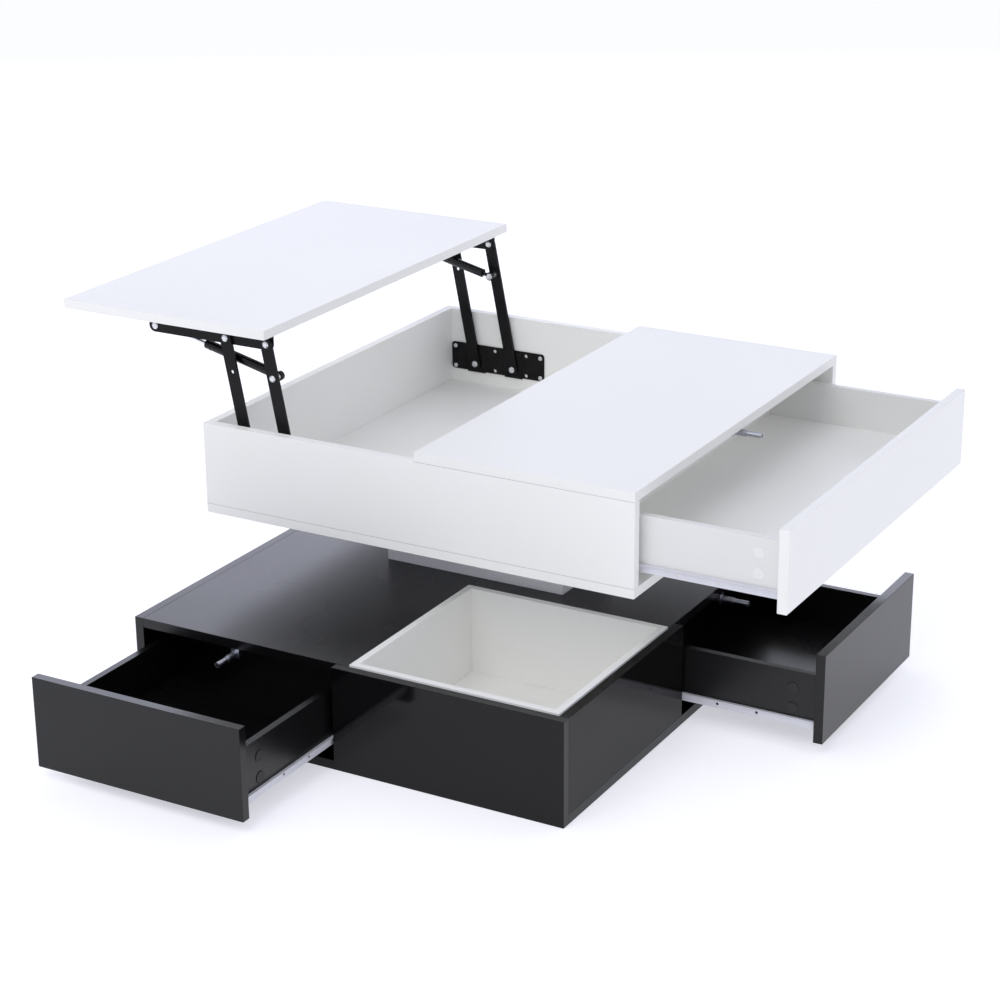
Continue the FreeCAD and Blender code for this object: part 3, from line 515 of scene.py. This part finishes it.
for index, (low, high) in enumerate(solids("wall_plate_fasteners")):
    if high.x - low.x >= WIDE:
        continue
    inward = inward_side(low)
    seat = (high.y if inward > 0 else low.y) - inward * MEASURED_SCREW_H
    point = ((low.x + high.x) / 2, seat, (low.z + high.z) / 2)
    screws.append(put(screw, f"wall_plate_screw_{index + 1}", point, (0, inward, 0), "case",
                      "zinc_steel", zinc_plate))
for index, (low, high) in enumerate(solids("lift_top_brackets")):
    inward = inward_side(low)
    y = (low.y if inward > 0 else high.y) + inward * SCREW_REACH
    for number, share in enumerate(SCREW_SHARES):
        point = (low.x + share * (high.x - low.x), y, high.z - BRACKET_T)
        screws.append(put(screw, f"bracket_screw_{index + 1}_{number + 1}", point, (0, 0, -1),
                          "lift_top", "zinc_steel", zinc_plate))
bpy.data.objects.remove(screw)
print("screws", len(screws))

# %% [markdown]
# ## Crimps on the gas struts
# A strut's tube is rolled over its rod guide, which leaves a raised bead, 12 mm from the mouth.
# The bead is a short band round the cylinder: a cylinder whose ends are drawn in by small
# steps, so that its outline is round instead of square.

# %% Crimp beads
BEAD_FROM_MOUTH, CYLINDER_L = 12 * MM, 150 * MM
BEAD_D, BEAD_FLAT = 17 * MM, 1.2 * MM
BEAD_STEPS = ((0.12, 0.45), (0.25, 0.3), (0.4, 0.15), (0.2, 0.0))
bead = disc(BEAD_D, BEAD_FLAT, 48, z=-BEAD_FLAT / 2)
for way in (1, -1):
    pick(lambda face: face.normal.z * way > FACING)
    shape(BEAD_STEPS, way)
bpy.ops.object.mode_set(mode="OBJECT")
ends = {}
for name in ("strut_cylinders", "strut_arm_bolts", "strut_rod_bolts"):
    ends[name] = sorted(solids(name), key=lambda box: box[0].y)
for index, side in enumerate(("front", "back")):
    tube, lower_pin, upper_pin = (ends[name][index] for name in ends)
    y = (tube[0].y + tube[1].y) / 2
    start, stop = ((box[0] + box[1]) / 2 for box in (lower_pin, upper_pin))
    along = Vector((stop.x - start.x, 0, stop.z - start.z)).normalized()
    point = Vector((start.x, y, start.z)) + along * (CYLINDER_L - BEAD_FROM_MOUTH)
    put(bead, f"strut_crimp_{side}", point, along, "strut_cylinders", "black_steel",
        black_enamel)
bpy.data.objects.remove(bead)
print("crimp beads on", len(ends["strut_cylinders"]), "struts")

# %% [markdown]
# ## Joint lines
# Where two boards meet in a face, a hairline shows: the shade inside the groove between the two
# softened edges. The measured boards already have their small edge radius, which leaves an open
# groove. A thin bar with rounded edges fills each groove almost flush and paints that shade,
# dark in the black base and grey in the white case. Each is a cube stretched to its joint and
# bevelled along its length.

# %% Painted seam shadows between boards
LINE_W, LINE_T, PROUD = 0.9 * MM, 0.6 * MM, 0.03 * MM
LINE_BEVEL = 0.1 * MM
HALF = LINE_W / 2


# each bar paints the shadow inside a seam's groove
def seam_shadow_bar(name, low, high, body, slot, finish):
    """A bar between two corners, bevelled, that rides a body."""
    bpy.ops.mesh.primitive_cube_add(size=1)
    piece = bpy.context.object
    piece.scale = Vector(high) - Vector(low)
    piece.location = (Vector(high) + Vector(low)) / 2
    bpy.ops.object.transform_apply(location=True, scale=True)
    soften = piece.modifiers.new("soften", "BEVEL")
    soften.width, soften.segments = LINE_BEVEL, 2
    bpy.ops.object.modifier_apply(modifier=soften.name)
    model = put(piece, name, (0, 0, 0), (0, 0, 1), body, slot, finish)
    bpy.data.objects.remove(piece)
    return model


left_low, left_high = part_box("base_left_top")
right_low, right_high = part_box("base_right_top")
roof, seam_x = left_high[2], right_low[0]
side_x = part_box("base_left_side")[1][0]
# dark bars that paint the seams' shadow on the black base
black = ("base", "black_gloss_board", black_seam_shadow_bar)
lines = [
    seam_shadow_bar("base_side_line", (side_x - HALF, left_low[1], roof - LINE_T),
              (side_x + HALF, left_high[1], roof + PROUD), *black),
    seam_shadow_bar("base_middle_line", (seam_x - HALF, right_low[1], roof - LINE_T),
              (seam_x + HALF, right_high[1], roof + PROUD), *black),
    seam_shadow_bar("base_back_line", (left_low[0], left_high[1] - HALF, roof - LINE_T),
              (right_high[0], left_high[1] + HALF, roof + PROUD), *black)]
case_low, case_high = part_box("case_bottom_board")
rim_low, rim_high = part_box("case_fixed_top")
# grey bars that paint the seams' shadow on the white case
white = ("case", "white_board", grey_seam_shadow_bar)
floor_z, rim_z = case_high[2], rim_low[2]
for face_name, y, way in (("front", case_low[1], -1), ("back", case_high[1], 1)):
    near, far = sorted((y - way * LINE_T, y + way * PROUD))
    lines.append(seam_shadow_bar(f"case_{face_name}_floor_line", (case_low[0], near, floor_z - HALF),
                           (case_high[0], far, floor_z + HALF), *white))
    lines.append(seam_shadow_bar(f"case_{face_name}_top_line", (rim_low[0], near, rim_z - HALF),
                           (rim_high[0], far, rim_z + HALF), *white))
lines.append(seam_shadow_bar("case_left_floor_line", (case_low[0] - PROUD, case_low[1], floor_z - HALF),
                       (case_low[0] + LINE_T, case_high[1], floor_z + HALF), *white))
print("glue lines", len(lines))

# %% [markdown]
# ## The studio
# The table stands on a plain pale floor in a bright white room. The room's light comes evenly
# from all round, as from big diffusers, and three soft lamps shape it: one high in front, one
# far behind whose glow lies along the tops, and one to the right for the drawer fronts. The
# floor glows a little as well, which lifts the undersides as a lit white sweep would.

# %% Floor, room and lamps
FLOOR_SIZE, FLOOR_DROP = 60, 0.2 * MM
FLOOR_GLOW, ROOM_LIGHT = 0.57, 0.68
bpy.ops.mesh.primitive_plane_add(size=FLOOR_SIZE, location=(0, 0, -FLOOR_DROP))
floor = bpy.context.object
floor.name = "floor"
pale = bpy.data.materials.new("pale_floor")
pale.use_nodes = True
surface = pale.node_tree.nodes["Principled BSDF"]
surface.inputs["Roughness"].default_value = 0.9
surface.inputs["Base Color"].default_value = linear("#DCDCDC")
surface.inputs["Emission Color"].default_value = linear("#F6F7FF")
surface.inputs["Emission Strength"].default_value = FLOOR_GLOW
floor.data.materials.append(pale)

room = bpy.data.worlds.new("white_room")
bpy.context.scene.world = room
room.use_nodes = True
sky = room.node_tree.nodes["Background"]
sky.inputs["Color"].default_value = linear("#EFF1FF")
sky.inputs["Strength"].default_value = ROOM_LIGHT


def soft_lamp(name, place, aim, width, height, power, tone="#FFFFFF"):
    """A rectangular lamp that points from its place to its aim and stays out of view."""
    lamp = bpy.data.lights.new(name, "AREA")
    lamp.shape = "RECTANGLE"
    lamp.size, lamp.size_y = width, height
    lamp.energy = power
    lamp.color = linear(tone)[:3]
    stand = bpy.data.objects.new(name, lamp)
    bpy.context.scene.collection.objects.link(stand)
    stand.location = place
    stand.rotation_euler = (Vector(aim) - Vector(place)).to_track_quat("-Z", "Y").to_euler()
    stand.visible_camera = False
    return stand


soft_lamp("lamp_overhead", (-0.2, -3.2, 4.0), (0, 0.1, 0.2), 2.6, 2.6, 57, "#FFFEFA")
soft_lamp("lamp_behind", (-2.6, 4.6, 2.0), (0, 0.2, 0.3), 4.5, 2.2, 60, "#E8EBFF")
soft_lamp("lamp_right", (4.2, 3.4, 1.8), (1.6, 1.6, 0.0), 2.6, 2.0, 13)
bpy.context.scene.view_settings.view_transform = "Standard"
bpy.context.scene.cycles.diffuse_bounces = 8
